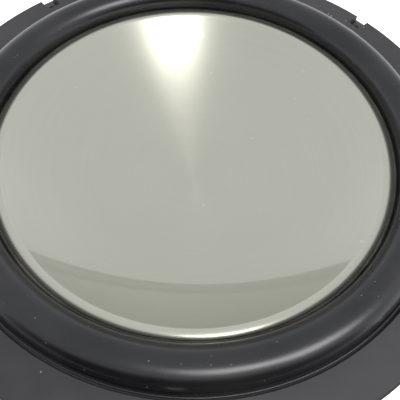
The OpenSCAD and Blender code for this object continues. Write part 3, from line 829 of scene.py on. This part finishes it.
tree, shader, place = start_finish("frame_paint", (0.02, 0.02, 0.022), roughness=0.36)
skin = place_group(tree, grain, place, Scale=700, Cloud_scale=20)
dirt = place_group(tree, dust, place, Speck_scale=380, Speck_share=0.02, Film=0.1)
rubbed = place_group(tree, scuffs, place, Scale=50, Amount=0.4)
black = blend_colours(tree, rubbed["Mask"], (0.016, 0.016, 0.018), (0.07, 0.07, 0.072))
wire(tree, shader, "Base Color", blend_colours(tree, dirt["Mask"], black, (0.18, 0.175, 0.17)))
wire(tree, shader, "Roughness", spread(tree, skin["Tone"], 0, 1, 0.3, 0.46))
raise_bumps(tree, shader, skin["Height"], 0.03 * MM)
print("black finishes:", len(finishes))

# %% [markdown]
# The motor is a ferrite ring between two zinc-plated steel plates. Ferrite is a grey-black ceramic
# with tiny pits. The plates are turned, so they share the circular brushing, and zinc has a cloudy
# bluish tone. The screws, the springs and the brass strips are small, and get fine drawn lines and
# dull spots.

# %% Finish: plated steel, ferrite, screws, springs and brass
tree, shader, place = start_finish("motor_steel", (0.55, 0.55, 0.56), metallic=1.0, roughness=0.32)
lines = place_group(tree, brushing, place, Lines=1800, Patches=2.4)
skin = place_group(tree, grain, place, Scale=500, Cloud_scale=36)
zinc = blend_colours(tree, skin["Tone"], (0.46, 0.47, 0.5), (0.6, 0.59, 0.56))
zinc = blend_colours(tree, spread(tree, lines["Line"], 0.35, 0.65, 0, 0.3), zinc, (0.35, 0.35, 0.36))
wire(tree, shader, "Base Color", zinc)
wire(tree, shader, "Roughness", spread(tree, lines["Line"], 0.3, 0.7, 0.26, 0.42))
raise_bumps(tree, shader, lines["Line"], 0.01 * MM)

tree, shader, place = start_finish("ferrite", (0.04, 0.04, 0.043), roughness=0.5)
skin = place_group(tree, grain, place, Scale=420, Cloud_scale=40)
pits = add(tree, "TexVoronoi", {"Vector": place, "Scale": 600})
pit = spread(tree, pits.outputs["Distance"], 0.0, 0.22)
stone = blend_colours(tree, skin["Tone"], (0.03, 0.03, 0.033), (0.055, 0.055, 0.058))
wire(tree, shader, "Base Color", blend_colours(tree, pit, (0.012, 0.012, 0.013), stone))
wire(tree, shader, "Roughness", spread(tree, skin["Tone"], 0, 1, 0.42, 0.62))
raise_bumps(tree, shader, calc(tree, "ADD", pit, skin["Height"]), 0.03 * MM)

for name, dark, light, shine, coat in (
        ("screw_steel", (0.1, 0.1, 0.105), (0.2, 0.2, 0.2), (0.28, 0.45), 0.2),
        ("spring_steel", (0.5, 0.5, 0.52), (0.66, 0.66, 0.67), (0.2, 0.34), 0.0),
        ("contact_brass", (0.62, 0.46, 0.2), (0.8, 0.62, 0.32), (0.24, 0.42), 0.0),
        ("tinsel", (0.5, 0.25, 0.12), (0.8, 0.5, 0.3), (0.28, 0.45), 0.0)):
    tree, shader, place = start_finish(name, light, metallic=1.0, roughness=0.35, coat_weight=coat)
    skin = place_group(tree, grain, place, Scale=1600, Cloud_scale=220)
    rubbed = place_group(tree, scuffs, place, Scale=300, Amount=0.7)
    metal = blend_colours(tree, skin["Tone"], dark, light)
    wire(tree, shader, "Base Color", blend_colours(tree, rubbed["Mask"], metal,
                                                   tuple(c * 0.5 for c in light)))
    wire(tree, shader, "Roughness", spread(tree, skin["Tone"], 0, 1, *shine))
    raise_bumps(tree, shader, skin["Height"], 0.01 * MM)
print("metals:", [name for name in finishes if "steel" in name or "brass" in name])

# %% [markdown]
# The terminals are moulded plastic: a black block and two glossy buttons, one red for the positive
# wire. A slight flow of tone and a shallow grain keep them from looking like paint.

# %% Finish: terminal plastics
for name, dark, light, shine, depth in (
        ("terminal_plastic", (0.014, 0.014, 0.015), (0.026, 0.026, 0.028), (0.34, 0.5), 0.015),
        ("button_red", (0.42, 0.012, 0.01), (0.56, 0.025, 0.018), (0.18, 0.3), 0.006),
        ("button_black", (0.012, 0.012, 0.013), (0.022, 0.022, 0.024), (0.18, 0.3), 0.006)):
    tree, shader, place = start_finish(name, light, roughness=0.3)
    skin = place_group(tree, grain, place, Scale=1900, Cloud_scale=70)
    dirt = place_group(tree, dust, place, Speck_scale=700, Speck_share=0.02, Film=0.08)
    plastic = blend_colours(tree, skin["Tone"], dark, light)
    wire(tree, shader, "Base Color", blend_colours(tree, dirt["Mask"], plastic, (0.24, 0.23, 0.22)))
    wire(tree, shader, "Roughness", spread(tree, skin["Tone"], 0, 1, *shine))
    raise_bumps(tree, shader, skin["Height"], depth * MM)

# %% [markdown]
# The spider is cloth, woven flat before it was pressed, so its threads run straight along X and Y
# however the waves rise and fall. Two sines multiplied give the over and under of a plain weave,
# and the resin makes it patchy and a little shiny. The cone is pressed paper pulp, with fibres that
# lie in all directions. The coil is wound wire, so it gets one groove for every turn.

# %% Finish: cloth, paper, adhesive, film and winding
tree, shader, place = start_finish("spider_cloth", (0.6, 0.47, 0.24), roughness=0.6)
thread = 2 * math.pi / (0.9 * MM)
at = add(tree, "SeparateXYZ", {"Vector": place}).outputs
warp = calc(tree, "SINE", calc(tree, "MULTIPLY", at["X"], thread))
weft = calc(tree, "SINE", calc(tree, "MULTIPLY", at["Y"], thread))
weave = spread(tree, calc(tree, "MULTIPLY", warp, weft), -1, 1)
skin = place_group(tree, grain, place, Scale=1500, Cloud_scale=45)
yarn = blend_colours(tree, weave, (0.36, 0.25, 0.1), (0.66, 0.52, 0.28))
wire(tree, shader, "Base Color", blend_colours(tree, calc(tree, "MULTIPLY", skin["Tone"], 0.4), yarn,
                                               (0.42, 0.27, 0.09)))
wire(tree, shader, "Roughness", spread(tree, skin["Tone"], 0, 1, 0.42, 0.72))
raise_bumps(tree, shader, calc(tree, "ADD", weave, calc(tree, "MULTIPLY", skin["Height"], 0.3)),
            0.12 * MM)

tree, shader, place = start_finish("cone_paper", (0.02, 0.019, 0.018), roughness=0.8)
fibre_layers = []
for angle in (0, 60, 120):
    laid = add(tree, "Mapping", {"Vector": place, "Rotation": (0.3, 0, math.radians(angle)),
                                 "Scale": (1, 9, 9)})
    fibres = add(tree, "TexNoise", {"Vector": laid.outputs[0], "Scale": 110, "Detail": 3})
    fibre_layers.append(spread(tree, fibres.outputs[0], 0.45, 0.75))
felt = calc(tree, "MAXIMUM", calc(tree, "MAXIMUM", *fibre_layers[:2]), fibre_layers[2])
wire(tree, shader, "Base Color", blend_colours(tree, felt, (0.014, 0.013, 0.012), (0.045, 0.042, 0.038)))
wire(tree, shader, "Roughness", spread(tree, felt, 0, 1, 0.9, 0.7))
raise_bumps(tree, shader, felt, 0.1 * MM)

tree, shader, place = start_finish("neck_adhesive", (0.2, 0.1, 0.035), roughness=0.2, coat_weight=0.5)
skin = place_group(tree, grain, place, Scale=300, Cloud_scale=90)
wire(tree, shader, "Base Color", blend_colours(tree, skin["Tone"], (0.14, 0.06, 0.02), (0.3, 0.16, 0.06)))
wire(tree, shader, "Roughness", spread(tree, skin["Tone"], 0, 1, 0.14, 0.34))
raise_bumps(tree, shader, skin["Height"], 0.1 * MM)

for name, dark, light, metallic, shine in (
        ("former_film", (0.32, 0.15, 0.03), (0.5, 0.27, 0.07), 0.0, (0.2, 0.32)),
        ("copper", (0.42, 0.14, 0.06), (0.72, 0.3, 0.15), 1.0, (0.2, 0.34))):
    tree, shader, place = start_finish(name, light, metallic=metallic, roughness=0.3, coat_weight=0.6)
    skin = place_group(tree, grain, place, Scale=700, Cloud_scale=60)
    at = add(tree, "SeparateXYZ", {"Vector": place}).outputs
    turns = spread(tree, calc(tree, "SINE", calc(tree, "MULTIPLY", at["Z"], 2 * math.pi / (0.5 * MM))),
                   -1, 1)
    tone = blend_colours(tree, skin["Tone"], dark, light)
    wire(tree, shader, "Base Color", blend_colours(tree, calc(tree, "MULTIPLY", turns, 0.5), dark, tone))
    wire(tree, shader, "Roughness", spread(tree, skin["Tone"], 0, 1, *shine))
    raise_bumps(tree, shader, turns, (0.08 if metallic else 0.01) * MM)
print("finishes:", len(finishes))

# %% [markdown]
# Each CAD part names its material slot in the record, and each finish above is named after a slot.
# So one loop dresses every part that stays, and the new pieces take theirs by the same names.

# %% Dress every part
slot_of = {part["node"]: part["material_slot"] for part in frame["record"]["subparts"]}
for node, part in nodes.items():
    for held in part.material_slots:
        held.material = finishes[slot_of[node]]
for piece, slot in ((dish, "dish_film"), (surround, "roll_rubber"), (bead, "glue"),
                    (spider, "spider_cloth"), (leads["red"], "tinsel"), (leads["black"], "tinsel"),
                    (springs["red"], "spring_steel"), (springs["black"], "spring_steel")):
    piece.data.materials.clear()
    piece.data.materials.append(finishes[slot])
print("dressed", len(nodes), "CAD parts and 8 pieces")

# %% [markdown]
# The side window would leave a hot patch on the shiny dish. Light linking keeps it for the black
# parts: a light with a receiver collection shines only on the objects in that collection.

# %% Keep the side window for the black parts
black_parts = bpy.data.collections.new("black_parts")
for piece in (surround, nodes["trim_ring"]):
    black_parts.objects.link(piece)
side_window.light_linking.receiver_collection = black_parts
